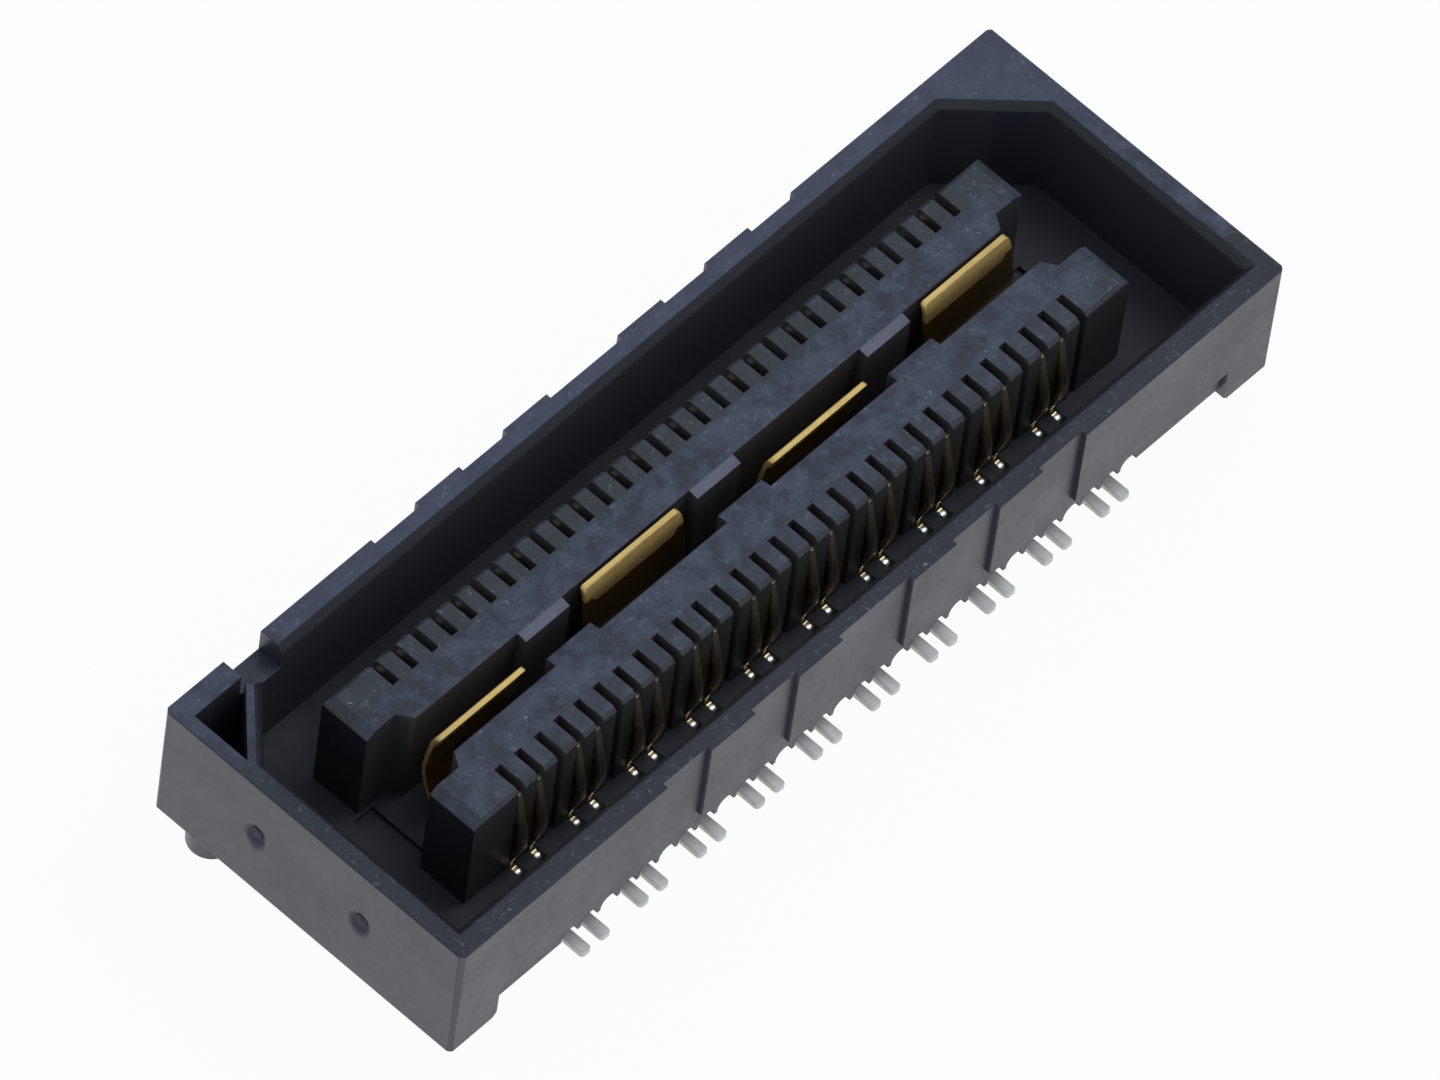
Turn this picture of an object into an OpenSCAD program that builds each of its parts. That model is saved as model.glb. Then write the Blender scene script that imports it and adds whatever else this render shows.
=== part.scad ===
// Board to board connector: a shrouded socket strip for surface mounting.
// Two rows of spring contacts stand in slotted ridges, with ground blades between the ridges.
// Millimetres. +X runs along the rows, +Y towards the keyed long wall, +Z away from the board.
// The origin is the middle of the body on the board's surface, which the contact tails stand on.
// Heights are given above the underside of the body, which stays clear of the board.

/* [Rows] */
// Distance between neighbouring contact places in a row
pitch = 0.5; // [0.5:0.05:0.7]
// Contact places in a row
places = 30; // [30:3:36]
// Places in one repeat of the pattern, of which the last stays empty
group = 3; // [2:1:3]

/* [Shroud] */
// Width over the long walls
body_w = 7.2; // [7:0.05:8]
// Height of the rim above the body's underside
body_h = 3; // [2.95:0.05:4]
// Reach of the body past the last contact place at each end
end_reach = 3.385; // [3.2:0.005:4.5]
// Thickness of the long walls
side_wall = 0.55; // [0.45:0.01:0.65]
// Thickness of the end walls
end_wall = 0.5; // [0.4:0.01:0.8]
// Chamfer that leads the mating strip in, all round the inside of the rim
lead_in = 0.15; // [0.05:0.01:0.25]
// Chamfer on the upright outer edges
corner_cut = 0.08; // [0.02:0.01:0.2]
// Thickness of the floor
floor_t = 0.35; // [0.3:0.01:0.5]
// Height of the floor's lower face above the body's underside
standoff = 0.2; // [0.15:0.01:0.3]
// Gap between the body's underside and the board
stand = 0.25; // [0.22:0.01:0.35]

/* [Foot and lip] */
// Length of the foot under each end
foot_l = 1.2; // [1:0.05:2]
// Chamfer on the inner lower edge of a foot
foot_cut = 0.1; // [0.02:0.01:0.15]
// Height of the long walls' lower lip above the body's underside
lip_z = 0.33; // [0.32:0.01:0.45]
// Depth of the room under the lip, measured in from the outer face
lip_depth = 0.35; // [0.25:0.01:0.4]
// Radius of the arches in the lip, one to each side of a contact
arch_r = 0.21; // [0.15:0.01:0.22]
// Rise of the arches above the lip
arch_rise = 0.25; // [0.15:0.01:0.28]

/* [Wall panels] */
// Depth of the shallow panels in the outer faces of the long walls
panel_depth = 0.11; // [0.05:0.01:0.15]
// Length of the middle panel
mid_panel_l = 1.83; // [1:0.01:2.2]
// Length of each of the other panels
panel_l = 1.13; // [0.8:0.01:1.3]
// Length of the raised pads between panels
pad_l = 1.12; // [0.8:0.01:1.3]
// Height of the pads' lower ends above the body's underside
pad_z = 0.9; // [0.75:0.01:1.2]

/* [Key corners] */
// Leg of the filled corners along the keyed wall
key_leg = 1.4; // [1:0.05:1.8]
// Thickness of the web in front of the cored corner, at its top
web_t = 0.15; // [0.1:0.01:0.25]
// Wall left between the cored corner and the end face
core_end = 0.3; // [0.2:0.01:0.4]
// Wall left between the cored corner and the keyed wall's outer face
core_side = 0.45; // [0.3:0.01:0.5]
// Distance of the rim notch from the end face
notch_off = 1.49; // [1.4:0.01:1.8]
// Length of the rim notch
notch_l = 0.94; // [0.5:0.01:1.2]
// Depth of the rim notch
notch_d = 0.57; // [0.3:0.01:0.8]

/* [Ridges] */
// Height of the ridges above the body's underside
ridge_h = 2.97; // [2.8:0.01:3.3]
// Gap between the ridges at the ground blades
gap_w = 0.92; // [0.9:0.01:1.1]
// Thickness of a ridge
ridge_t = 1.38; // [1.2:0.01:1.4]
// Reach of the ridges past the last contact place
ridge_over = 1.22; // [1:0.01:1.5]
// Reach of the ridges' full thickness past the last contact place
main_over = 0.3; // [0.2:0.01:0.4]
// Set-back of the ridge ends from the gap
end_set = 0.3; // [0.1:0.01:0.4]
// Length over which the ridge ends step back
end_step = 0.2; // [0.1:0.01:0.3]
// Length of the slope at the ridge ends
slope_l = 0.22; // [0.1:0.01:0.3]
// Drop of the slope at the ridge ends
slope_drop = 0.13; // [0.05:0.01:0.3]
// Chamfer on the outer top edge of the ridges
edge_cut = 0.09; // [0.03:0.01:0.15]
// Length of the spacers that part the ground blades
spacer_l = 1.13; // [0.8:0.01:1.5]
// Reach of the spacers into the gap
spacer_d = 0.22; // [0.1:0.01:0.25]
// Drop of the spacers' tops towards the gap
spacer_cut = 0.04; // [0.02:0.01:0.1]

/* [Contact slots] */
// Depth of a slot in from the ridge's outer face
slot_depth = 0.105; // [0.1:0.005:0.2]
// Depth of the notch at the top of a slot, in from the ridge's outer face
top_depth = 0.615; // [0.45:0.005:0.7]
// Height of the notch at the top of a slot
top_h = 0.6; // [0.4:0.05:0.9]
// Height of the slope below the notch
top_slope = 0.7; // [0.4:0.05:0.8]
// Free room on each side of a contact in its slot
contact_clear = 0.015; // [0.01:0.005:0.04]
// Free room between a contact's heel and the end of its floor slot
heel_clear = 0.1; // [0.04:0.01:0.12]

/* [Contacts] */
// Thickness of the strip that contacts are formed from
stock_t = 0.13; // [0.1:0.01:0.15]
// Radius of the tight bends, on the middle of the strip
bend_r = 0.105; // [0.1:0.005:0.12]
// Radius of the bend above the roots, on the middle of the strip
root_r = 0.3; // [0.2:0.05:0.5]
// Width of a contact's beam
contact_w = 0.14; // [0.12:0.01:0.2]
// Width of a contact's tail
tail_w = 0.25; // [0.2:0.01:0.3]
// Radius of the corners at the end of a tail
tail_r = 0.08; // [0.04:0.01:0.1]
// Reach of the tails past the long walls
tail_out = 0.14; // [0.1:0.01:0.5]
// Drop of a beam's tip below the ridge top
tip_drop = 0.27; // [0.15:0.01:0.4]
// Distance of a beam's tip behind the ridge's outer face
tip_in = 0.1; // [0.05:0.01:0.2]
// Drop of a beam's crest below the ridge top
crest_drop = 1.57; // [1.2:0.01:1.6]
// Reach of a beam's crest past the ridge's outer face
crest_out = 0.2; // [0.1:0.01:0.25]
// Radius of a beam's crest, on the middle of the strip
crest_r = 1.2; // [0.5:0.05:1.3]
// Reach of a contact's heel past the ridge's outer face
heel_out = 0.21; // [0.19:0.01:0.3]
// Depth of the heel below the floor's upper face
heel_drop = 0.11; // [0.09:0.01:0.14]
// Height of the straight root above the floor
root_h = 0.15; // [0.12:0.01:0.2]
// Height of the shoulders that grip the slot
shoulder_h = 0.13; // [0.08:0.01:0.15]

/* [Ground blades] */
// Number of ground blades
blades = 4; // [2:1:4]
// Thickness of the strip that blades are formed from
blade_t = 0.1; // [0.08:0.01:0.12]
// Distance between neighbouring ground blades
blade_pitch = 4.4; // [4.2:0.05:4.6]
// Length of a blade at its root
blade_l = 2.58; // [2:0.05:2.6]
// Shortening of the first and last blades at the ends of the row
outer_short = 0.26; // [0.1:0.01:0.4]
// Shortening of a tip at each end
tip_cut = 0.05; // [0.01:0.01:0.2]
// Height over which the tips are shortened
cut_h = 0.65; // [0.3:0.05:1]
// Radius of the tip's corners
tip_r = 0.08; // [0.03:0.01:0.1]
// Drop of the tips below the ridge top
blade_drop = 0.03; // [0:0.01:0.2]
// Offset of the blades' bellies from the middle of the gap, towards the keyed wall
blade_shift = 0.12; // [0:0.01:0.12]
// Reach of a tip from the belly, towards the ridge behind it
flare = 0.245; // [0.2:0.005:0.25]
// Lean of the bent-back tip, which is the outer part of that reach
lean = 0.12; // [0.05:0.01:0.15]
// Height of the bent-back tip
lean_h = 0.22; // [0.15:0.01:0.4]
// Radius of the bend below the tip, on the middle of the strip
lean_r = 0.5; // [0.2:0.05:0.6]
// Distance of a blade's root from the ridge face behind it
root_gap = 0.29; // [0.2:0.01:0.32]
// Height of a blade's straight root above the floor
blade_root_h = 0.5; // [0.4:0.01:0.6]
// Height of the belly that meets the mating strip, above the body's underside
belly_z = 1.75; // [1.6:0.05:2]
// Radius of the belly, on the middle of the strip
belly_r = 1.2; // [0.8:0.1:1.4]
// Reach of a blade's foot from its root, along the board
blade_foot = 0.5; // [0.4:0.01:0.8]

/* [Pegs and moulding marks] */
// Diameter of the locating pegs
peg_d = 0.92; // [0.7:0.01:1]
// Length of the locating pegs below the body's underside
peg_l = 0.9; // [0.6:0.05:1.4]
// Chamfer at the peg tips
peg_cut = 0.12; // [0.05:0.01:0.25]
// Distance of the pegs from the end faces
peg_end = 0.65; // [0.55:0.01:0.7]
// Distance of the pegs from the keyed wall's outer face
peg_side = 0.86; // [0.6:0.01:1.2]
// Diameter of the dished gate marks on one end face
gate_d = 0.56; // [0.4:0.01:0.7]
// Diameter of the bottom of the gate marks
gate_bottom = 0.3; // [0.1:0.01:0.35]
// Depth of the gate marks
gate_depth = 0.07; // [0.02:0.01:0.1]
// Distance between the gate marks
gate_span = 2.52; // [2:0.01:3]
// Height of the gate marks above the body's underside
gate_z = 1.62; // [1.4:0.01:2]
// Length of the shallow wells in the floor at the ends of the gap
well_l = 0.47; // [0.3:0.01:0.6]
// Width of the wells
well_w = 1.4; // [1:0.01:1.45]
// Reach of the wells past the ridges
well_out = 0.15; // [0.1:0.01:0.2]
// Depth of the wells
well_d = 0.12; // [0.05:0.01:0.15]

/* [Hidden] */
$fn = 48;
over = 0.05;
arc_steps = 6;

row_l = (places - 1) * pitch;
body_l = row_l + 2 * end_reach;
floor_z = standoff + floor_t;
cavity_l = body_l - 2 * end_wall;
cavity_w = body_w - 2 * side_wall;
foot_x = body_l / 2 - foot_l;

ridge_in = gap_w / 2;
ridge_out = ridge_in + ridge_t;
ridge_end = row_l / 2 + ridge_over;
main_end = row_l / 2 + main_over;

slot_w = contact_w + 2 * contact_clear;
slot_back = ridge_out - slot_depth;
heel_y = ridge_out + heel_out;
slot_end = heel_y + stock_t / 2 + heel_clear;
tail_end = body_w / 2 + tail_out;
tail_start = slot_end + stock_t;

root_y = ridge_in - root_gap;
blade_z = ridge_h - blade_drop;

place_x = [for (i = [0 : places - 1]) i * pitch - row_l / 2];
filled = [for (i = [0 : places - 1]) if (i % group < group - 1) i];
blade_x = [for (i = [0 : blades - 1]) (i - (blades - 1) / 2) * blade_pitch];

function label(name, i) = str(name, i < 9 ? "0" : "", i + 1);

// Side of the gap that blade i stands on
function blade_side(i) = i % 2 == 0 ? -1 : 1;

// Ends of blade i along the row, measured from its middle
function blade_low(i) = (i == 0 ? outer_short : 0) - blade_l / 2;
function blade_high(i) = blade_l / 2 - (i == blades - 1 ? outer_short : 0);

// Formed strip: a path with rounded bends, thickened to both sides

function unit(v) = v / norm(v);

// Arc of radius r that replaces the corner b between a and c
function bend(a, b, c, r) =
    let (u = unit(a - b), w = unit(c - b))
    let (half = acos(u * w) / 2)
    let (mid = b + unit(u + w) * r / sin(half))
    let (from = b + u * r / tan(half) - mid)
    let (to = b + w * r / tan(half) - mid)
    let (start = atan2(from.y, from.x))
    let (turn = (atan2(to.y, to.x) - start + 540) % 360 - 180)
    [for (k = [0 : arc_steps])
        let (at = start + turn * k / arc_steps)
        mid + r * [cos(at), sin(at)]];

// Path through the points with its inner corners rounded to the given radii
function rounded(points, radii) = [
    points[0],
    for (i = [1 : len(points) - 2]) each bend(points[i - 1], points[i], points[i + 1], radii[i - 1]),
    points[len(points) - 1]
];

// Direction of the path into and out of its point i
function heading_in(path, i) = unit(path[max(i, 1)] - path[max(i, 1) - 1]);
function heading_out(path, i) = heading_in(path, min(i + 1, len(path) - 1));

// The path moved sideways by d
function shifted(path, d) = [
    for (i = [0 : len(path) - 1])
        let (mid = unit(heading_in(path, i) + heading_out(path, i)))
        path[i] + [-mid.y, mid.x] * d / (mid * heading_in(path, i))
];

function reversed(list) = [for (i = [len(list) - 1 : -1 : 0]) list[i]];

function ribbon(path, t) = concat(shifted(path, t / 2), reversed(shifted(path, -t / 2)));

// A profile drawn in Y and Z, run along X
module along_x(l) {
    rotate([90, 0, 90])
        linear_extrude(height = l, center = true)
            children();
}

// A profile drawn in X and Z, run along Y
module along_y(w) {
    rotate([90, 0, 0])
        linear_extrude(height = w, center = true)
            children();
}

module on_both_sides() {
    children();
    mirror([0, 1, 0])
        children();
}

// Turned over to the other side of the middle where side is negative
module facing(side) {
    if (side > 0)
        children();
    else
        mirror([0, 1, 0])
            children();
}

module at_places(indices) {
    for (i = indices)
        translate([place_x[i], 0, 0])
            children();
}

// Housing

module wall_panels() {
    step = panel_l + pad_l;
    first = mid_panel_l / 2 + pad_l + panel_l / 2;
    side_x = [for (side = [-1, 1]) for (k = [0, 1]) side * (first + k * step)];
    on_both_sides()
        translate([0, body_w / 2 - panel_depth]) {
            translate([-mid_panel_l / 2, 0])
                square([mid_panel_l, 2 * panel_depth]);
            for (x = side_x)
                translate([x - panel_l / 2, 0])
                    square([panel_l, 2 * panel_depth]);
        }
}

module outer_block() {
    x = body_l / 2;
    y = body_w / 2;
    c = corner_cut;
    linear_extrude(height = body_h)
        difference() {
            polygon([
                [-x + c, -y], [x - c, -y], [x, -y + c], [x, y - c],
                [x - c, y], [-x + c, y], [-x, y - c], [-x, -y + c]
            ]);
            wall_panels();
        }
}

// Upright edge of the cavity that opens out to the rim
function mouth_edge(reach) = [
    [reach, floor_z],
    [reach, body_h - lead_in],
    [reach + lead_in + over, body_h + over]
];

function mouth(half) = concat(
    mouth_edge(half),
    reversed([for (p = mouth_edge(half)) [-p.x, p.y]])
);

module key_face() {
    reach = (cavity_l / 2 + cavity_w / 2 - key_leg) / sqrt(2);
    far = -body_l;
    rotate([0, 0, 45])
        along_y(2 * body_l)
            polygon(concat(mouth_edge(reach), [[far, body_h + over], [far, floor_z]]));
}

module cavity() {
    intersection() {
        along_x(2 * body_l)
            polygon(mouth(cavity_w / 2));
        along_y(2 * body_w)
            polygon(mouth(cavity_l / 2));
        key_face();
        mirror([1, 0, 0])
            key_face();
    }
}

module underside() {
    translate([-foot_x, -body_w, -over])
        cube([2 * foot_x, 2 * body_w, standoff + over]);
}

// Outline of the room under a lip, with an arch to each side of a contact
module lip_outline() {
    x = foot_x + foot_cut;
    polygon([
        [-x - over, -over], [-foot_x, foot_cut], [-foot_x, lip_z],
        [foot_x, lip_z], [foot_x, foot_cut], [x + over, -over]
    ]);
    for (i = filled)
        for (x = [place_x[i] - pitch / 2, place_x[i] + pitch / 2])
            translate([x, lip_z + arch_rise - arch_r])
                circle(r = arch_r);
}

module lip_relief() {
    y = body_w / 2;
    on_both_sides() {
        translate([0, y + over, 0])
            rotate([90, 0, 0])
                linear_extrude(height = lip_depth + over)
                    lip_outline();
        translate([-foot_x, y - panel_depth, lip_z])
            cube([2 * foot_x, 2 * panel_depth, pad_z - lip_z]);
    }
}

module rear_ridge() {
    inner = [
        [-ridge_end, ridge_in + end_set], [-main_end - end_step, ridge_in + end_set], [-main_end, ridge_in],
        [main_end, ridge_in], [main_end + end_step, ridge_in + end_set], [ridge_end, ridge_in + end_set]
    ];
    intersection() {
        linear_extrude(height = body_h + ridge_h) {
            polygon(concat(inner, [[ridge_end, ridge_out], [-ridge_end, ridge_out]]));
            for (i = [1 : blades - 1])
                translate([(blade_x[i - 1] + blade_x[i] - spacer_l) / 2, ridge_in - spacer_d])
                    square([spacer_l, 2 * spacer_d]);
        }
        along_x(2 * body_l)
            polygon([
                [0, standoff], [ridge_out, standoff], [ridge_out, ridge_h - edge_cut],
                [ridge_out - edge_cut, ridge_h], [ridge_in, ridge_h],
                [ridge_in - spacer_d, ridge_h - spacer_cut], [0, ridge_h - spacer_cut]
            ]);
        along_y(2 * body_w)
            polygon([
                [-ridge_end, standoff], [ridge_end, standoff], [ridge_end, ridge_h - slope_drop],
                [ridge_end - slope_l, ridge_h], [slope_l - ridge_end, ridge_h],
                [-ridge_end, ridge_h - slope_drop]
            ]);
    }
}

// A slot at every place, which goes on through the floor where a contact stands
module contact_slots() {
    on_both_sides() {
        at_places([0 : places - 1])
            along_x(slot_w)
                polygon([
                    [ridge_out - top_depth, ridge_h + over], [ridge_out - top_depth, ridge_h - top_h],
                    [slot_back, ridge_h - top_h - top_slope], [slot_back, floor_z],
                    [ridge_out + over, floor_z], [ridge_out + over, ridge_h + over]
                ]);
        at_places(filled)
            translate([-slot_w / 2, slot_back, standoff - over])
                cube([slot_w, slot_end - slot_back, floor_t + 2 * over]);
    }
}

module blade_slots() {
    for (i = [0 : blades - 1])
        translate([blade_x[i] + blade_low(i), blade_side(i) * root_y - blade_t / 2, standoff - over])
            cube([blade_high(i) - blade_low(i), blade_t, floor_t + 2 * over]);
}

module cored_corner() {
    x = body_l / 2 - core_end;
    y = body_w / 2 - core_side;
    face = cavity_l / 2 + cavity_w / 2 - key_leg;
    leg = x + y - face - (lead_in + web_t) * sqrt(2);
    translate([-x, y, floor_z])
        linear_extrude(height = body_h)
            polygon([[0, 0], [leg, 0], [0, -leg]]);
}

module rim_notch() {
    translate([notch_off - body_l / 2, body_w / 2 - side_wall - lead_in, body_h - notch_d])
        cube([notch_l, side_wall + lead_in + over, notch_d + over]);
}

module gate_marks() {
    slope = (gate_d - gate_bottom) / gate_depth;
    on_both_sides()
        translate([-body_l / 2 - over, gate_span / 2, gate_z])
            rotate([0, 90, 0])
                cylinder(d1 = gate_d + slope * over, d2 = gate_bottom, h = gate_depth + over);
}

module floor_wells() {
    for (side = [0, 1])
        mirror([side, 0, 0])
            translate([ridge_end + well_out - well_l / 2, 0, floor_z])
                cube([well_l, well_w, 2 * well_d], center = true);
}

module pegs() {
    r = peg_d / 2;
    for (side = [-1, 1])
        translate([side * (body_l / 2 - peg_end), body_w / 2 - peg_side, 0])
            rotate_extrude()
                polygon([
                    [0, standoff], [0, -peg_l], [r - peg_cut, -peg_l],
                    [r, peg_cut - peg_l], [r, standoff]
                ]);
}

module housing() {
    color("#2c2e34")
        difference() {
            union() {
                difference() {
                    outer_block();
                    cavity();
                    underside();
                    lip_relief();
                }
                on_both_sides()
                    rear_ridge();
                pegs();
            }
            contact_slots();
            blade_slots();
            cored_corner();
            rim_notch();
            gate_marks();
            floor_wells();
        }
}

// Contacts

module rear_contact() {
    tip = [ridge_out - tip_in, ridge_h - tip_drop];
    crest = [ridge_out + crest_out, ridge_h - crest_drop];
    root = [slot_back + stock_t / 2, floor_z + root_h];
    run_z = floor_z - heel_drop;
    tail_z = stock_t / 2 - stand;
    path = rounded(
        [tip, crest, root, [root.x, run_z], [heel_y, run_z], [heel_y, tail_z],
         [tail_start + stock_t, tail_z]],
        [crest_r, root_r, bend_r, bend_r, bend_r]
    );
    half = tail_w / 2;
    tail = rounded(
        [[half, tail_start], [half, tail_end], [-half, tail_end], [-half, tail_start]],
        [tail_r, tail_r]
    );
    color("#c9a24a") {
        along_x(contact_w)
            polygon(ribbon(path, stock_t));
        translate([-slot_w / 2, slot_back, floor_z])
            cube([slot_w, stock_t, shoulder_h]);
        translate([0, 0, -stand])
            linear_extrude(height = stock_t)
                polygon(tail);
    }
}

module front_contact() {
    mirror([0, 1, 0])
        rear_contact();
}

// Ground blades

module ground_blade(i) {
    belly = [blade_side(i) * blade_shift, belly_z];
    tip = [belly.x + flare, blade_z + over];
    knee = [tip.x - lean, blade_z - lean_h];
    foot_z = blade_t / 2 - stand;
    path = rounded(
        [tip, knee, belly, [root_y, floor_z + blade_root_h], [root_y, foot_z], [root_y - blade_foot, foot_z]],
        [lean_r, belly_r, root_r, bend_r]
    );
    low = blade_low(i);
    high = blade_high(i);
    outline = rounded(
        [[low, -stand], [low, blade_z - cut_h], [low + tip_cut, blade_z],
         [high - tip_cut, blade_z], [high, blade_z - cut_h], [high, -stand]],
        [tip_r, tip_r, tip_r, tip_r]
    );
    color("#d8b254")
        intersection() {
            along_x(2 * blade_l)
                polygon(ribbon(path, blade_t));
            along_y(2 * gap_w)
                polygon(outline);
        }
}

// The body stands clear of the board
module raised() {
    translate([0, 0, stand])
        children();
}

raised() housing();

for (i = [0 : len(filled) - 1])
    raised() at_places([filled[i]]) front_contact();

for (i = [0 : len(filled) - 1])
    raised() at_places([filled[i]]) rear_contact();

for (i = [0 : blades - 1])
    raised() translate([blade_x[i], 0, 0]) facing(blade_side(i)) ground_blade(i);
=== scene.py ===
import math

import bmesh
import bpy
from bpy.props import FloatProperty, FloatVectorProperty, IntProperty, PointerProperty
from mathutils import Matrix, Vector, noise


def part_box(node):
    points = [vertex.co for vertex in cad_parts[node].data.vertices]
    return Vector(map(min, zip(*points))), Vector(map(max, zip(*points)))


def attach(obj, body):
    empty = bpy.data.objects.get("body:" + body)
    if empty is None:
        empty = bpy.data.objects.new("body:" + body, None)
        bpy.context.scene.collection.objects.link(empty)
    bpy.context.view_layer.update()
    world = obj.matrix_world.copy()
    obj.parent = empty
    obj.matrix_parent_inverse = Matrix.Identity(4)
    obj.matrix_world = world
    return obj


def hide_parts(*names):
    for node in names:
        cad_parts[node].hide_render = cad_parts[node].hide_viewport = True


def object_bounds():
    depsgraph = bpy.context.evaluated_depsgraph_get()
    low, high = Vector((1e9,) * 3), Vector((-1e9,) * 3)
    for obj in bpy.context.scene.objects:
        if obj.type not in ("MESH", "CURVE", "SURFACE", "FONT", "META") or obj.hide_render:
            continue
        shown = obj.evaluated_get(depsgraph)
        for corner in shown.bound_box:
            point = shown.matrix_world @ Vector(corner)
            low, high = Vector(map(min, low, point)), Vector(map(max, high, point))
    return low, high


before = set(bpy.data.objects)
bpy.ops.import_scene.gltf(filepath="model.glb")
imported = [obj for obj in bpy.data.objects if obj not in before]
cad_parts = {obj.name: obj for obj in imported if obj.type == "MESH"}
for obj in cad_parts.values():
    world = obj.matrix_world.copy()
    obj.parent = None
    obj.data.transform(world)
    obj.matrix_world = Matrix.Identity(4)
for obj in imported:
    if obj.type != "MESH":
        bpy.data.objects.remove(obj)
CAD_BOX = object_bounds()

bl_info = {
    "name": "Board to Board Connector Dressing",
    "version": (1, 0, 0),
    "blender": (4, 5, 0),
    "location": "View3D > Sidebar > Connector",
    "description": "Moulded, plated and lit finish for a shrouded two-row board connector",
    "category": "Object",
}

MM = 0.001
BODY = "root"
CONTACTS = sorted(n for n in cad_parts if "_contact_" in n)
BLADES = sorted(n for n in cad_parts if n.startswith("ground_blade_"))
# The end face that the moulding gates are on
GATE_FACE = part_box("housing")[0].x

# Corners closer together than this are one corner
WELD = 0.0002 * MM
# Neighbouring faces that turn less than this are one flat face
FLAT = math.radians(1)
# Edges that turn more than this are corners of the moulding or of the strip
CORNER = math.radians(28)
# Edges that turn more than this are knife edges and stay as they are
KNIFE = math.radians(100)
# Strips of faces in the round of a long edge and of any other edge
LONG_STRIPS = 3
FINE_STRIPS = 2
# Steps in which the corner of a blade's tip turns from level to upright
CORNER_STEPS = 5
# Corners no further than this below a blade's top belong to its tip
TIP_BAND = 0.06 * MM
# Middle of the pit in a torn stub, seen from the stub's own middle
PIT_AT = Vector((-0.7, -0.35, -0.6)).normalized()
# How quickly the pit closes round its middle
PIT_CLOSING = 12
# Torn skin: its scale, then the fading, the spread and the number of its layers
TEAR_SCALE = 1.8
TEAR_LAYERS = (1.0, 2.0, 4)
# How far apart the two stubs are torn from the same noise
TEAR_APART = 3
STUB_SUBDIVISIONS = 4
FLOOR_SIDES = 64
# The camera sees from its distance divided by this to its distance times this
CLIP = 10

# Sockets of the Mix node for colours, which have the same names as those for numbers
MIX_FACTOR, MIX_LOW, MIX_HIGH, MIX_RESULT = 0, 6, 7, 2

# How far a face looks along an axis where it begins to count and where it counts in full
UPWARD = (0.55, 0.95)
SIDEWAYS = (0.5, 0.9)
LEAD_IN_BEGINS = (0.4, 0.6)
LEAD_IN_ENDS = (0.8, 0.9)
FLAT_TIP = (0.6, 0.8)

# Width of the border between two tints, in millimetres
SOFT = 0.1
# Widths of the borders of a plating and of a matt tip on either side of their line
PLATING_EDGE = 0.03
TIP_EDGE = 0.02
# How far the border of the gold wanders, in millimetres
WANDER_REACH = 0.05
# Rise and length of the round ends of the matt tip on a blade, in millimetres
PILL_RISE = 0.12
PILL_END = 0.14
# Places across the part between which the painted reflection on the keyed wall's rim grows and the
# painted shade on the rim over the gates fades, in millimetres
FAR_GROWS = (-1.0, 3.0)
GATE_FADES = (1.0, 2.6)
# Where the mark round a gate begins to fade and is gone, in its own radii
SMUDGE_FADES = (0.6, 1.3)

# Patterns, with scales in repeats to the millimetre; low and high are the ends of a soft step
CLOUDS = {
    "low": 0.34, "high": 0.68, "scale": 1.9, "detail": 6, "roughness": 0.64, "distortion": 0.25
}
FLECK_FIELDS = {"low": 0.44, "high": 0.62, "scale": 1.9}
FLECKS = {
    "low": 0.62, "high": 0.72, "scale": 10, "detail": 4, "roughness": 0.6, "distortion": 1.2
}
PUCKERS = {"scale": 6.5, "detail": 5, "roughness": 0.65, "distortion": 0.5}
# Pucker heights between which the painted highlight on the peaks grows
PUCKER_PEAKS = (0.56, 0.74)
GRAIN = {"scale": 26, "detail": 2}
FINE_SHEEN = {"scale": 6}
BROAD_SHEEN = {"scale": 0.7, "detail": 2}
STAINS = {"scale": 4, "detail": 4, "roughness": 0.6}
GOLD_STAINED = (0.35, 0.75)
TIN_STAINED = (0.3, 0.7)
CRYSTALS = {"scale": 38, "detail": 2}
WANDER = {"scale": 5}


def length(name, description, default):
    """A size in metres that a user may change."""
    return FloatProperty(
        name=name, description=description, default=default, min=0.0, precision=6, unit="LENGTH"
    )


def share(name, description, default):
    """A part of the whole, from none to all."""
    return FloatProperty(
        name=name, description=description, default=default, min=0.0, max=1.0, subtype="FACTOR"
    )


def colour(name, description, default):
    """A linear colour."""
    return FloatVectorProperty(
        name=name, description=description, default=default,
        min=0.0, max=1.0, size=3, subtype="COLOR",
    )


def point(name, description, default):
    """A place in metres."""
    return FloatVectorProperty(
        name=name, description=description, default=default,
        size=3, subtype="TRANSLATION", unit="LENGTH",
    )


def turn(name, description, degrees):
    """An angle that is given in degrees."""
    return FloatProperty(
        name=name, description=description, default=math.radians(degrees), subtype="ANGLE"
    )


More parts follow.
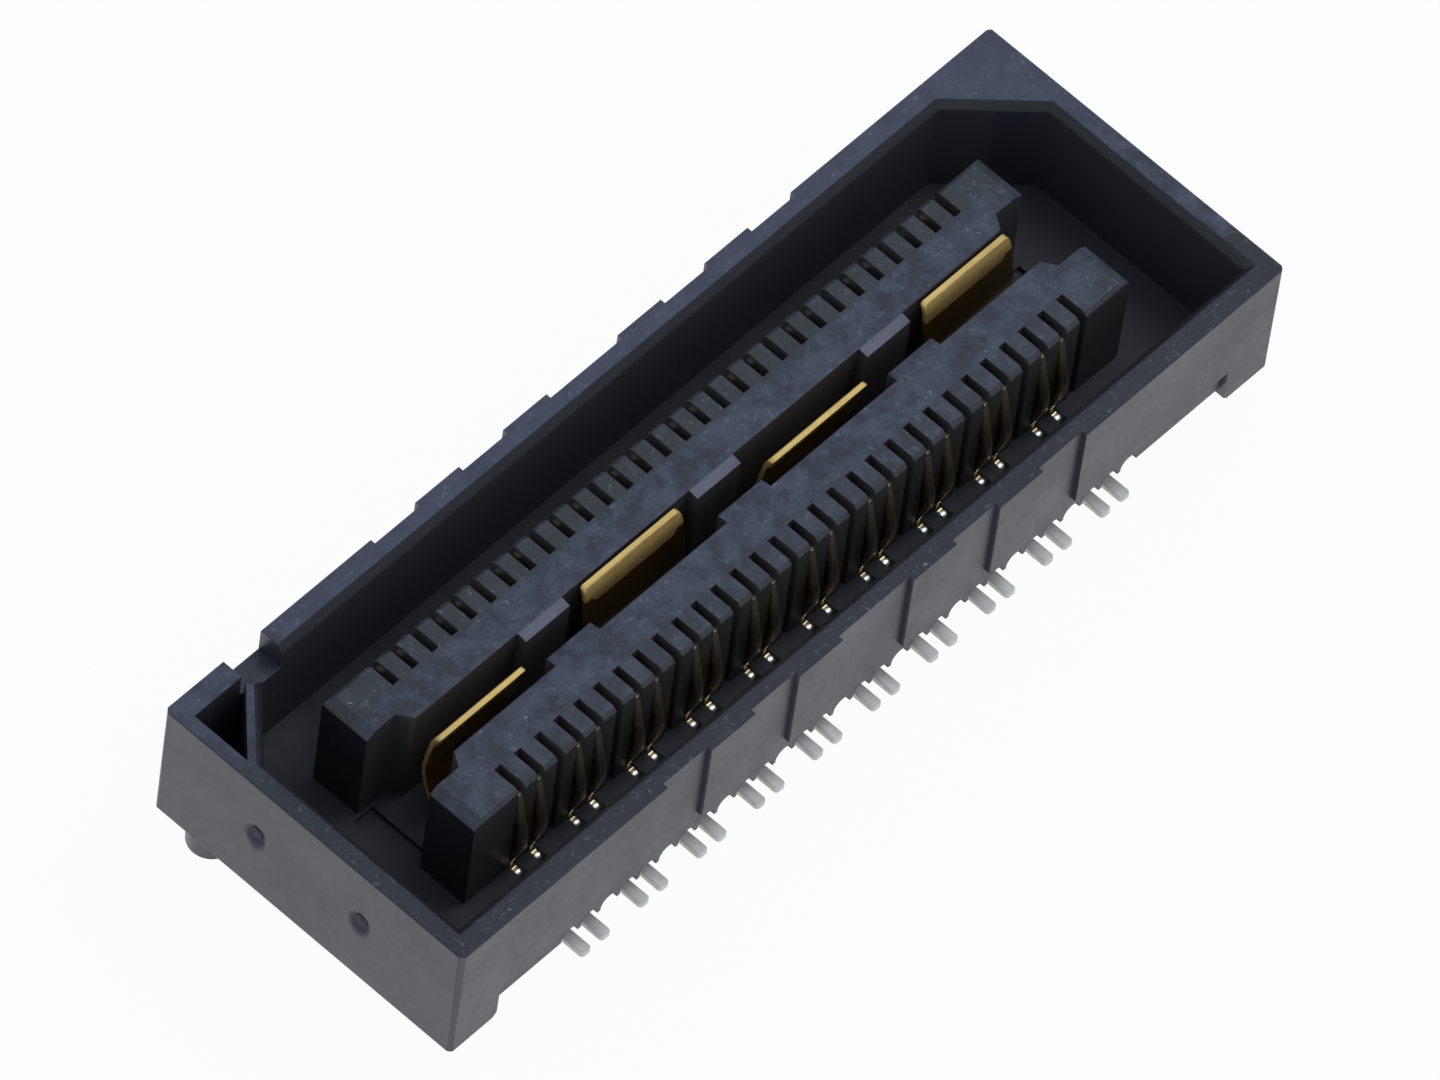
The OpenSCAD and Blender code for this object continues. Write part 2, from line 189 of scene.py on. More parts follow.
class MouldingSettings(bpy.types.PropertyGroup):
    """Edges and finish of the moulding. Heights are from the board, distances from the middle."""

    edge: length("Edge round", "Radius on the long free edges", 0.028 * MM)
    fine_edge: length("Fine edge round", "Radius on edges of slots, teeth and pads", 0.012 * MM)
    long_edge: length("Long edge", "Edges longer than this count as long", 2.5 * MM)
    short_edge: length("Short edge", "Edges shorter than this stay sharp", 0.12 * MM)
    ridge_edge: length("Ridge edge", "Edges on a ridge's end above this count as long", 0.6 * MM)
    ridge_height: length("Ridge height", "Height above which those edges lie", 2.4 * MM)
    ridge_line: length("Ridge line", "Distance at which the ends of the ridges begin", 6.5 * MM)

    body: colour("Body", "Plain resin", (0.029, 0.031, 0.043))
    skin: colour("Skin", "Resin on the top faces", (0.011, 0.015, 0.030))
    cloud: colour("Cloud", "Paler patches on the top faces", (0.056, 0.068, 0.104))
    teeth: colour("Teeth", "Resin between the slots of the ridges", (0.016, 0.019, 0.018))
    # Painted sheen: a pale lilac tint that stands for light caught by the slanted facets of the
    # rear ridge's spacers
    spacer_sheen: colour("Spacers", "Resin on the spacers of the rear ridge", (0.105, 0.098, 0.140))
    # Painted shade: a near-black tone on the rim over the gates
    gate_rim_shade: colour("Gate rim", "Resin on the rim over the gates", (0.005, 0.006, 0.011))
    inside: colour("Inside", "Resin on the sides of the ridges", (0.058, 0.053, 0.048))
    floor: colour("Floor", "Resin on the floor between the walls", (0.029, 0.030, 0.036))
    # Painted shade: a near-black tone on the plain wall's rim, also laid on the lead-in, the
    # ridges' ends and the rear floor
    near_rim_shade: colour("Near rim", "Resin on the plain rim and the lead-in", (0.006, 0.006, 0.009))
    # Painted reflection: a paler blue tint that stands for the brighter light that the keyed wall's
    # rim reflects
    far_rim_reflection: colour("Far rim", "Resin on the keyed wall's rim", (0.060, 0.066, 0.115))
    # Painted light: a paler tone that stands for fill light on the shroud's wall faces that look
    # into the cavity towards the camera
    inner: colour("Inner walls", "Resin on the inner faces of the shroud", (0.046, 0.048, 0.054))
    # Also the colour of the painted highlights on the peaks of the puckered skin
    fleck: colour("Fleck", "Fibre ends at the skin", (0.34, 0.37, 0.43))

    front_teeth: share("Front teeth", "Strength of the teeth's tint on the front ridge", 0.25)
    rear_teeth: share("Rear teeth", "Strength of the teeth's tint on the rear ridge", 0.70)
    # Strength of the painted reflection on the keyed wall's rim
    far_reflection_share: share("Far rim share", "Strength of the tint on the keyed wall's rim", 0.55)
    # Strength of the painted shade on the plain wall's rim and on the rim over the gates
    rim_shade_share: share("Rim share", "Strength of the tint on the other rims", 0.90)
    # Strength of the painted shade on the ridges' ends
    end_shade_share: share("Ridge end share", "Strength of the dark tint on the ridges' ends", 0.80)
    fleck_share: share("Fleck share", "Strength of the fibre ends", 0.60)
    # Strength of the painted highlights on the peaks of the puckered skin
    peak_glint_share: share("Peak share", "Strength of the pale spots on the puckered skin", 0.25)

    roughness: share("Roughness", "Roughness of the resin", 0.44)
    fine_sheen: share("Fine sheen", "Change of roughness from spot to spot", 0.16)
    broad_sheen: share("Broad sheen", "Change of roughness from one stretch to the next", 0.24)
    skin_dulling: share("Skin dulling", "Roughness that the top faces gain", 0.06)
    floor_dulling: share("Floor dulling", "Roughness that the floor gains", 0.30)
    smudge_dulling: share("Smudge dulling", "Roughness that the marks round the gates gain", 0.34)
    gateward_gloss: share("Gateward gloss", "Roughness that faces towards the gates lose", 0.08)
    index: FloatProperty(
        name="Index", description="Index of refraction of the resin", default=1.6, min=1.0
    )
    grain: length("Grain depth", "Depth of the moulded grain", 0.002 * MM)
    pucker: length("Pucker depth", "Depth of the uneven skin on the top faces", 0.007 * MM)

    skin_line: length("Skin line", "Height at which the cloudy skin begins", 2.8 * MM)
    floor_line: length("Floor line", "Height at which the floor ends", 1.15 * MM)
    teeth_line: length("Teeth line", "Distance at which the slots begin", 1.12 * MM)
    gap_line: length("Gap line", "Distance at which the ridges begin", 0.46 * MM)
    wall_line: length("Wall line", "Distance at which the long walls begin", 2.3 * MM)
    end_line: length("End line", "Distance at which the end walls begin", 9.3 * MM)
    key_line: length("Key line", "Distance at which the key pocket begins", 8.2 * MM)
    rim_width: length("Rim width", "Width of the rim over the gates", 0.8 * MM)


class PlatingSettings(bpy.types.PropertyGroup):
    """Edges and plating of the strips. Heights are from the board, distances from the middle."""

    edge: length("Edge round", "Radius on the sheared edges of the strip", 0.018 * MM)
    tip_round: length("Tip round", "Radius on the two corners of a blade's tip", 0.09 * MM)

    gold: colour("Gold", "Gold plating on the blades", (0.95, 0.65, 0.23))
    thin_gold: colour("Thin gold", "Thin gold plating on the contacts", (0.82, 0.68, 0.44))
    tin: colour("Tin", "Tin plating", (1.0, 0.93, 0.84))
    stain: share("Stain", "Part of its brightness that a stained spot keeps", 0.86)
    gold_roughness: share("Gold roughness", "Roughness of the bright gold", 0.27)
    tin_roughness: share("Tin roughness", "Roughness of the tin inside the housing", 0.30)
    matt_roughness: share("Matt roughness", "Roughness at the tails and blade tips", 0.55)
    tip_gloss: share("Tip gloss", "Roughness that gold faces looking up lose", 0.16)
    matt_gold: share("Matt gold", "Part of the metal look that matt gold loses", 0.07)
    matt_tin: share("Matt tin", "Part of the metal look that matt tin loses", 0.85)
    crystal_sheen: share("Crystal sheen", "Change of roughness over the tin's crystals", 0.1)
    crystal_depth: length("Crystal depth", "Depth of the tin's crystals", 0.001 * MM)
    worn: share("Worn gold", "Part of the metal look that the front beams lose at the top", 0.09)

    contact_line: length("Contact line", "Height at which a contact turns gold", 0.86 * MM)
    heel_line: length("Heel line", "Distance across at which a heel turns to tin", 1.97 * MM)
    tail_line: length("Tail line", "Distance across at which a tail turns matt", 2.32 * MM)
    worn_low: length("Worn from", "Height at which the front beams begin to dull", 1.55 * MM)
    worn_high: length("Worn to", "Height at which the front beams are dullest", 2.75 * MM)
    blade_line: length("Blade line", "Height at which a blade turns gold", 1.15 * MM)
    matt_line: length("Matt line", "Height at which a blade turns matt", 2.79 * MM)


class GateSettings(bpy.types.PropertyGroup):
    """Torn stubs that the moulding gates leave in their dishes, and the marks round them."""

    span: length("Gate span", "Distance between the two gates", 2.52 * MM)
    height: length("Gate height", "Height of the gates above the board", 1.87 * MM)
    depth: length("Dish depth", "Depth of the dish that a stub stands in", 0.07 * MM)
    width: length("Stub width", "Width of a stub at its root", 0.24 * MM)
    tallness: FloatProperty(
        name="Stub tallness", description="Height of a stub, in stub widths", default=1.2, min=0.0
    )
    reach: share("Stub reach", "Part of the dish's depth that a stub fills", 0.8)
    ragged: share("Raggedness", "How far the torn skin wanders, in stub radii", 0.12)
    pit: share("Pit", "Depth of the pit in the torn skin, in stub radii", 0.6)
    seed: IntProperty(name="Seed", description="Seed of the torn shape", default=7)
    smudge_width: length("Smudge width", "Half the width of the mark round a gate", 0.2222 * MM)
    smudge_height: length("Smudge height", "Half the height of the mark round a gate", 0.3125 * MM)
    smudge_drop: length("Smudge drop", "How far the mark sits below its gate", 0.1 * MM)


class StageSettings(bpy.types.PropertyGroup):
    """Camera, lamp, floor and sky."""

    azimuth: turn("Azimuth", "Turn of the camera round the part", -53.95)
    elevation: turn("Elevation", "Height of the camera above the horizon", 55.54)
    roll: turn("Roll", "Turn of the camera about its own axis", 8.66)
    distance: length("Distance", "Distance from the camera to the part", 423.6 * MM)
    aim: point("Aim", "Point that the camera looks at", (-0.130 * MM, -0.056 * MM, 1.776 * MM))
    lens: FloatProperty(
        name="Lens", description="Focal length", default=600.0, subtype="DISTANCE_CAMERA"
    )
    sensor: FloatProperty(
        name="Sensor", description="Sensor width", default=36.0, subtype="DISTANCE_CAMERA"
    )
    floor: colour("Floor", "Colour of the floor", (0.90, 0.90, 0.90))
    floor_radius: length("Floor radius", "Radius of the round floor", 1800 * MM)
    floor_drop: length("Floor drop", "Gap between the part and the floor", 0.005 * MM)
    floor_white: share("Floor white", "Part of the floor that is white whatever falls on it", 0.96)
    sky: colour("Sky", "Colour of the light from all round", (0.76, 0.86, 1.0))
    sky_strength: FloatProperty(
        name="Sky strength", description="Strength of the light from all round",
        default=0.56, min=0.0,
    )
    lamp_at: point("Lamp place", "Place of the soft lamp", (45 * MM, -15 * MM, 98 * MM))
    lamp_size: length("Lamp size", "Diameter of the soft lamp", 56 * MM)
    lamp_colour: colour("Lamp colour", "Colour of the soft lamp", (0.88, 0.93, 1.0))
    lamp_power: FloatProperty(
        name="Lamp power", description="Power of the soft lamp",
        default=0.026, min=0.0, unit="POWER",
    )


class Wire:
    """A shader socket that takes part in sums and products."""

    def __init__(self, finish, socket):
        self.finish = finish
        self.socket = socket

    def __add__(self, other):
        return self.finish.math("ADD", self, other)

    __radd__ = __add__

    def __sub__(self, other):
        return self.finish.math("SUBTRACT", self, other)

    def __rsub__(self, other):
        return self.finish.math("SUBTRACT", other, self)

    def __mul__(self, other):
        return self.finish.math("MULTIPLY", self, other)

    __rmul__ = __mul__

    def __abs__(self):
        return self.finish.math("ABSOLUTE", self)


class Finish:
    """A node tree under construction, for a material or for the world."""

    def __init__(self, owner):
        owner.use_nodes = True
        self.owner = owner
        self.tree = owner.node_tree
        self.tree.nodes.clear()

    def node(self, kind, settings=None, inputs=None, output=0):
        """Adds a node, sets it up, feeds its sockets and returns one of its outputs."""
        made = self.tree.nodes.new(kind)
        for key, value in (settings or {}).items():
            setattr(made, key, value)
        for key, value in (inputs or {}).items():
            if isinstance(value, Wire):
                self.tree.links.new(value.socket, made.inputs[key])
            else:
                made.inputs[key].default_value = value
        return Wire(self, made.outputs[output]) if made.outputs else None

    def math(self, operation, *values):
        """A value worked out by a Math node."""
        return self.node("ShaderNodeMath", {"operation": operation}, dict(enumerate(values)))

    def place(self):
        """Place on the part in millimetres."""
        metres = self.node("ShaderNodeTexCoord", output="Object")
        return self.node(
            "ShaderNodeVectorMath", {"operation": "SCALE"}, {"Vector": metres, "Scale": 1 / MM}
        )

    def axis(self, vector, name):
        """One coordinate of a vector."""
        return self.node("ShaderNodeSeparateXYZ", inputs={"Vector": vector}, output=name)

    def facing(self, name):
        """How far a face looks along an axis, from -1 to 1."""
        return self.axis(self.node("ShaderNodeTexCoord", output="Normal"), name)

    def step(self, value, low, high):
        """A soft step from 0 at low to 1 at high."""
        return self.node(
            "ShaderNodeMapRange",
            {"interpolation_type": "SMOOTHSTEP"},
            {"Value": value, "From Min": low, "From Max": high},
        )

    def border(self, value, line, before=0.0, after=SOFT):
        """A soft step at a line in metres, from so many millimetres before it to so many after."""
        return self.step(value, line / MM - before, line / MM + after)

    def noise(self, place, scale, detail=3, roughness=0.55, distortion=0):
        """A cloudy pattern round one half."""
        return self.node(
            "ShaderNodeTexNoise",
            inputs={
                "Vector": place, "Scale": scale, "Detail": detail,
                "Roughness": roughness, "Distortion": distortion,
            },
        )

    def swing(self, place, **pattern):
        """A cloudy pattern round nought."""
        return self.noise(place, **pattern) - 0.5

    def patches(self, place, low, high, **pattern):
        """The spots at which a cloudy pattern is high."""
        return self.step(self.noise(place, **pattern), low, high)

    def blend(self, factor, low, high):
        """A colour between low and high."""
        ends = {MIX_FACTOR: factor, MIX_LOW: opaque(low), MIX_HIGH: opaque(high)}
        return self.node("ShaderNodeMix", {"data_type": "RGBA"}, ends, output=MIX_RESULT)

    def tinted(self, base, *tints):
        """A colour with tints laid over it in turn, each through its mask."""
        for mask, tint in tints:
            base = self.blend(mask, base, tint)
        return base

    def bump(self, height, depth):
        """A normal that a height bends."""
        return self.node("ShaderNodeBump", inputs={"Height": height, "Distance": depth})

    def surface(self, kind, inputs):
        """Ends the tree in one shader."""
        self.end(self.node(kind, inputs=inputs))

    def end(self, shader, target="ShaderNodeOutputMaterial"):
        """Ends the tree in a shader that is already there."""
        self.node(target, inputs={"Surface": shader})


def opaque(value):
    """A colour with its alpha, or the wire that carries one."""
    return value if isinstance(value, Wire) else (*value, 1.0)


class ResinZones:
    """Masks of the parts of the moulding, 1 on a part and 0 off it."""

    def __init__(self, finish, place, settings, gates):
        along, across, height = (finish.axis(place, name) for name in "XYZ")
        upward = finish.facing("Z")
        top = finish.step(upward, *UPWARD)
        sloped = finish.step(upward, *LEAD_IN_BEGINS) * (1 - finish.step(upward, *LEAD_IN_ENDS))
        far = finish.border(across, settings.wall_line)
        side = finish.border(abs(across), settings.wall_line)
        end = finish.border(abs(along), settings.end_line)
        gap = 1 - finish.border(abs(across), settings.gap_line, before=0.02, after=0.01)
        off_key = finish.border(along, -settings.key_line, before=0.1, after=0.3)
        past = finish.border(abs(along), settings.key_line, before=1.0, after=0.0)
        self.rear = finish.border(across, 0)
        self.gateward = finish.step(0 - finish.facing("X"), *SIDEWAYS)
        # The top faces and the floor
        self.skin = top * finish.border(height, settings.skin_line, before=0.2, after=0.2)
        self.floor = top * (1 - finish.border(height, settings.floor_line, before=0.25, after=0.25))
        # Painted shade on the rear half of the floor, away from the ends
        self.shaded_rear_floor = self.floor * self.rear * (1 - past)
        # The ridges
        self.inside = (1 - end) * (1 - side)
        self.teeth = self.inside * finish.border(abs(across), settings.teeth_line)
        # Mask of the painted sheen on the spacers of the rear ridge
        self.spacer_sheen = self.rear * gap * (1 - end)
        # Painted shade on the faces of the ridges' ends that look towards the gates
        self.ridge_end = self.inside * self.gateward * past
        # The shroud
        # Painted shade on the sloped lead-in of the shroud
        self.lead_in = (1 - self.inside) * sloped
        # Painted reflection on the keyed wall's rim, growing towards the far side
        self.far_rim_reflection = (1 - self.inside) * off_key * finish.step(across, *FAR_GROWS)
        # Painted shade on the plain wall's rim
        self.near_rim_shade = side - far
        gate_end = 1 - finish.border(along, GATE_FACE + settings.rim_width, before=SOFT, after=0.0)
        # Painted shade on the rim over the gates, fading towards the rear
        self.gate_rim_shade = gate_end * (1 - finish.step(across, *GATE_FADES))
        # Painted light on the rear wall's face that looks forward and on the far end wall's face
        # that looks towards the gates
        far_face = far * finish.step(0 - finish.facing("Y"), *SIDEWAYS)
        self.inner = far_face + self.gateward * finish.border(along, settings.end_line)
        # The marks round the gates
        beside = (abs(across) - gates.span / 2 / MM) * (MM / gates.smudge_width)
        below = (height - (gates.height - gates.smudge_drop) / MM) * (MM / gates.smudge_height)
        radii = finish.math("SQRT", beside * beside + below * below)
        self.smudge = self.gateward * gate_end * (1 - finish.step(radii, *SMUDGE_FADES))


def resin_colour(finish, place, zones, settings, pucker):
    """Colour of the resin: clouds, pale fibre ends and painted highlights on the top faces; painted
    shade, painted reflection, painted sheen and painted fill light on some parts; plain tints
    elsewhere.
    """
    fleck = finish.patches(place, **FLECK_FIELDS) * finish.patches(place, **FLECKS)
    # Fibre ends, and painted highlights on the peaks of the pucker
    pale = settings.fleck_share * fleck + settings.peak_glint_share * finish.step(pucker, *PUCKER_PEAKS)
    teeth = settings.front_teeth + (settings.rear_teeth - settings.front_teeth) * zones.rear
    skin = finish.tinted(
        finish.blend(finish.patches(place, **CLOUDS), settings.skin, settings.cloud),
        (zones.teeth * teeth, settings.teeth),
        (zones.far_rim_reflection * settings.far_reflection_share, settings.far_rim_reflection),
        (zones.near_rim_shade * settings.rim_shade_share, settings.near_rim_shade),
        (zones.gate_rim_shade * settings.rim_shade_share, settings.gate_rim_shade),
        (zones.spacer_sheen, settings.spacer_sheen),
        (pale, settings.fleck),
    )
    return finish.tinted(
        finish.blend(zones.inner, settings.body, settings.inner),
        (zones.inside, settings.inside),
        (zones.ridge_end * settings.end_shade_share, settings.near_rim_shade),
        (zones.floor, settings.floor),
        (zones.shaded_rear_floor, settings.near_rim_shade),
        (zones.skin, skin),
        (zones.lead_in, settings.near_rim_shade),
    )


def moulding_finish(settings, gates):
    """Black glass-filled resin."""
    finish = Finish(bpy.data.materials.new("black_moulding"))
    place = finish.place()
    zones = ResinZones(finish, place, settings, gates)
    pucker = finish.noise(place, **PUCKERS)
    sheen = (
        settings.fine_sheen * finish.swing(place, **FINE_SHEEN)
        + settings.broad_sheen * finish.swing(place, **BROAD_SHEEN)
    )
    dulling = (
        settings.skin_dulling * zones.skin
        + settings.floor_dulling * zones.floor
        + settings.smudge_dulling * zones.smudge
    )
    gloss = settings.gateward_gloss * zones.gateward
    relief = (
        settings.grain / MM * finish.noise(place, **GRAIN)
        + settings.pucker / MM * zones.skin * pucker
    )
    finish.surface("ShaderNodeBsdfPrincipled", {
        "Base Color": resin_colour(finish, place, zones, settings, pucker),
        "Roughness": settings.roughness + sheen + dulling - gloss,
        "IOR": settings.index,
        "Normal": finish.bump(relief, MM),
    })
    return finish.owner


def plating_finish(name, settings, golden, gilded, matted, dulled):
    """Gold where the strip works and tin elsewhere. The last three values are masks by place."""
    finish = Finish(bpy.data.materials.new(name))
    place = finish.place()
    stain = finish.noise(place, **STAINS)
    gold, tin = (
        finish.blend(finish.step(stain, *stained), metal, Vector(metal) * settings.stain)
        for metal, stained in ((golden, GOLD_STAINED), (settings.tin, TIN_STAINED))
    )
    crystal = finish.noise(place, **CRYSTALS)
    gilt = gilded(finish, place)
    matt = matted(finish, place)
    bright = settings.tin_roughness + gilt * (settings.gold_roughness - settings.tin_roughness)
    flat_tip = gilt * finish.step(finish.facing("Z"), *FLAT_TIP)
    dull = settings.matt_roughness - settings.tip_gloss * flat_tip
    lost = settings.matt_tin + gilt * (settings.matt_gold - settings.matt_tin)
    uneven = settings.crystal_sheen * (crystal - 0.5) * (1 - gilt)
    finish.surface("ShaderNodeBsdfPrincipled", {
        "Base Color": finish.blend(gilt, tin, gold),
        "Metallic": 1 - matt * lost - dulled(finish, place),
        "Roughness": bright + matt * (dull - bright) + uneven,
        "Normal": finish.bump(crystal * matt * (1 - gilt), settings.crystal_depth),
    })
    return finish.owner


def above(line):
    """Plating mask that begins at a height over the board."""
    def masked(finish, place):
        wander = WANDER_REACH * finish.swing(place, **WANDER)
        return finish.border(finish.axis(place, "Z") + wander, line, PLATING_EDGE, PLATING_EDGE)
    return masked


def beyond(reach):
    """Plating mask that begins at a distance across from the middle."""
    def masked(finish, place):
        return finish.border(abs(finish.axis(place, "Y")), reach, PLATING_EDGE, PLATING_EDGE)
    return masked


def above_or_within(line, reach):
    """Plating mask that covers all above a height and all within a distance from the middle."""
    def masked(finish, place):
        return finish.math("MAXIMUM", above(line)(finish, place), 1 - beyond(reach)(finish, place))
    return masked


def tip_or_end(line, first, pitch, half):
    """Plating mask on the tips of the blades in a row, in pills, and every other blade's ends."""
    def masked(finish, place):
        gone = finish.axis(place, "X") - first / MM
        along = finish.math("WRAP", gone, pitch / 2 / MM, -pitch / 2 / MM)
        rise = PILL_RISE * finish.border(abs(along), half, before=PILL_END, after=0.0)
        tip = finish.border(finish.axis(place, "Z") - rise, line, TIP_EDGE, TIP_EDGE)
        pair = finish.math("WRAP", gone, pitch / MM, -pitch / MM)
        odd = 1 - finish.border(abs(pair), pitch / 2, SOFT, SOFT)
        return finish.math("MAXIMUM", tip, odd * finish.step(abs(finish.facing("X")), *SIDEWAYS))
    return masked


def front_rise(low, high, most):
    """Plating mask that grows with the height over the board, in the front row alone."""
    def masked(finish, place):
        front = 1 - finish.border(finish.axis(place, "Y"), 0, SOFT, SOFT)
        return most * front * finish.step(finish.axis(place, "Z"), low / MM, high / MM)
    return masked


def nowhere(finish, place):
    """Plating mask that covers nothing."""
    return 0


def whole_copy(node):
    """A copy of a CAD node with its corners merged and its flat faces in one piece."""
    mesh = bmesh.new()
    mesh.from_mesh(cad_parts[node].data)
    bmesh.ops.remove_doubles(mesh, verts=mesh.verts, dist=WELD)
    bmesh.ops.dissolve_limit(mesh, angle_limit=FLAT, verts=mesh.verts, edges=mesh.edges)
    return mesh


def outer_corners(mesh):
    """Edges that stand out as corners."""
    mesh.normal_update()
    return [
        e for e in mesh.edges
        if e.is_manifold and e.is_convex and CORNER < e.calc_face_angle() < KNIFE
    ]


def round_edges(mesh, edges, radius, segments):
    """Rounds the edges and returns the faces that do it."""
    made = bmesh.ops.bevel(
        mesh, geom=edges, offset=radius, offset_type="OFFSET", segments=segments,
        profile=0.5, affect="EDGES", clamp_overlap=False, material=-1,
    )
    return made["faces"]


def shown(name, data):
    """An object of the scene that shows some data."""
    made = bpy.data.objects.new(name, data)
    bpy.context.scene.collection.objects.link(made)
    return made


def mesh_data(name, mesh, material):
    """Turns a bmesh into mesh data of one material."""
    data = bpy.data.meshes.new(name)
    mesh.to_mesh(data)
    mesh.free()
    data.materials.append(material)
    return data


def finished_piece(name, mesh, material, nodes):
    """Turns a bmesh into a piece that rides on the part and stands for CAD nodes."""
    for face in mesh.faces:
        face.smooth = True
    data = mesh_data(name, mesh, material)
    data.set_sharp_from_angle(angle=CORNER)
    piece = shown(name, data)
    soft = piece.modifiers.new("even_shading", "WEIGHTED_NORMAL")
    soft.keep_sharp = True
    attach(piece, BODY)
    if nodes:
        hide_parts(*nodes)


def plated_piece(node, mesh, edge, plating):
    """Rounds the sheared edges of a strip and turns it into a plated piece."""
    round_edges(mesh, outer_corners(mesh), edge, FINE_STRIPS)
    finished_piece("plated_" + node, mesh, plating, [node])


class CONNECTOR_OT_housing(bpy.types.Operator):
    """Rounds the moulding's edges and gives it its resin"""

    bl_idname = "connector.housing"
    bl_label = "Housing"

    def execute(self, context):
        settings = context.scene.connector_moulding
        mesh = whole_copy("housing")
        long_edges = [
            e for e in outer_corners(mesh)
            if e.calc_length() > settings.long_edge or self.on_ridge_end(e, settings)
        ]
        done = set(round_edges(mesh, long_edges, settings.edge, LONG_STRIPS))
        fine_edges = [
            e for e in outer_corners(mesh)
            if e.calc_length() > settings.short_edge and done.isdisjoint(e.link_faces)
        ]
        round_edges(mesh, fine_edges, settings.fine_edge, FINE_STRIPS)
        resin = moulding_finish(settings, context.scene.connector_gate)
        finished_piece("moulded_housing", mesh, resin, ["housing"])
        return {"FINISHED"}

    def on_ridge_end(self, edge, settings):
        """True for the longer edges of the sloped ends of the two ridges."""
        return edge.calc_length() > settings.ridge_edge and all(
            v.co.z > settings.ridge_height and settings.ridge_line < abs(v.co.x) < settings.end_line
            for v in edge.verts
        )


class CONNECTOR_OT_gates(bpy.types.Operator):
    """Adds the torn stubs that stand in the dishes of the moulding gates"""

    bl_idname = "connector.gates"
    bl_label = "Gate Stubs"

    def execute(self, context):
        settings = context.scene.connector_gate
        resin = moulding_finish(context.scene.connector_moulding, settings)
        for name, side in (("gate_stub_front", -1), ("gate_stub_rear", 1)):
            mesh = self.stub(settings, side)
            finished_piece(name, mesh, resin, [])
        return {"FINISHED"}

    def stub(self, settings, side):
        """A lump of torn resin with a pit in it, low enough to stay in its dish."""
        mesh = bmesh.new()
        bmesh.ops.create_icosphere(mesh, subdivisions=STUB_SUBDIVISIONS, radius=1.0)
        seeded = Vector((settings.seed, TEAR_APART * side, 0))
        for vert in mesh.verts:
            torn = noise.fractal(vert.co * TEAR_SCALE + seeded, *TEAR_LAYERS)
            hollow = math.exp(-PIT_CLOSING * (vert.co - PIT_AT).length_squared)
            vert.co *= 1 + settings.ragged * torn - settings.pit * hollow
        radius = settings.width / 2
        lump = Vector((settings.depth * settings.reach, radius, radius * settings.tallness))
        bmesh.ops.scale(mesh, verts=mesh.verts, vec=lump)
        root = Vector((GATE_FACE + settings.depth, side * settings.span / 2, settings.height))
        bmesh.ops.translate(mesh, verts=mesh.verts, vec=root)
        return mesh


class CONNECTOR_OT_contacts(bpy.types.Operator):
    """Rounds the sheared edges of the signal contacts and plates them"""

    bl_idname = "connector.contacts"
    bl_label = "Signal Contacts"

    def execute(self, context):
        settings = context.scene.connector_plating
        plating = plating_finish(
            "contact_plating",
            settings,
            settings.thin_gold,
            gilded=above_or_within(settings.contact_line, settings.heel_line),
            matted=beyond(settings.tail_line),
            dulled=front_rise(settings.worn_low, settings.worn_high, settings.worn),
        )
        for node in CONTACTS:
            plated_piece(node, whole_copy(node), settings.edge, plating)
        return {"FINISHED"}


class CONNECTOR_OT_blades(bpy.types.Operator):
    """Rounds the tips and the sheared edges of the ground blades and plates them"""

    bl_idname = "connector.blades"
    bl_label = "Ground Blades"

    def execute(self, context):
        settings = context.scene.connector_plating
        meshes = [whole_copy(node) for node in BLADES]
        ends = [self.tip_ends(mesh) for mesh in meshes]
        first, second = (sum(pair) / 2 for pair in ends[:2])
        half = (ends[0][1] - ends[0][0]) / 2
        plating = plating_finish(
            "blade_plating",
            settings,
            settings.gold,
            gilded=above(settings.blade_line),
            matted=tip_or_end(settings.matt_line, first, second - first, half),
            dulled=nowhere,
        )
        for node, mesh, (low, high) in zip(BLADES, meshes, ends):
            self.round_corner(mesh, low, -1, settings.tip_round)
            self.round_corner(mesh, high, 1, settings.tip_round)
            plated_piece(node, mesh, settings.edge, plating)
        return {"FINISHED"}

    def tip_ends(self, mesh):
        """Places of the two ends of a blade's tip along the row."""
        top = max(v.co.z for v in mesh.verts)
        tip = [v.co.x for v in mesh.verts if v.co.z > top - TIP_BAND]
        return min(tip), max(tip)

    def round_corner(self, mesh, end, side, radius):
        """Cuts one corner of a blade's tip round with a fan of planes."""
        top = max(v.co.z for v in mesh.verts)
        centre = Vector((end - side * radius, 0, top - radius))
        for step in range(1, CORNER_STEPS):
            angle = math.pi / 2 * step / CORNER_STEPS
            out = Vector((side * math.sin(angle), 0, math.cos(angle)))
            cut = bmesh.ops.bisect_plane(
                mesh, geom=[*mesh.verts, *mesh.edges, *mesh.faces],
                plane_co=centre + out * radius, plane_no=out, clear_outer=True,
            )
            rim = [e for e in cut["geom_cut"] if isinstance(e, bmesh.types.BMEdge)]
            bmesh.ops.holes_fill(mesh, edges=rim, sides=0)


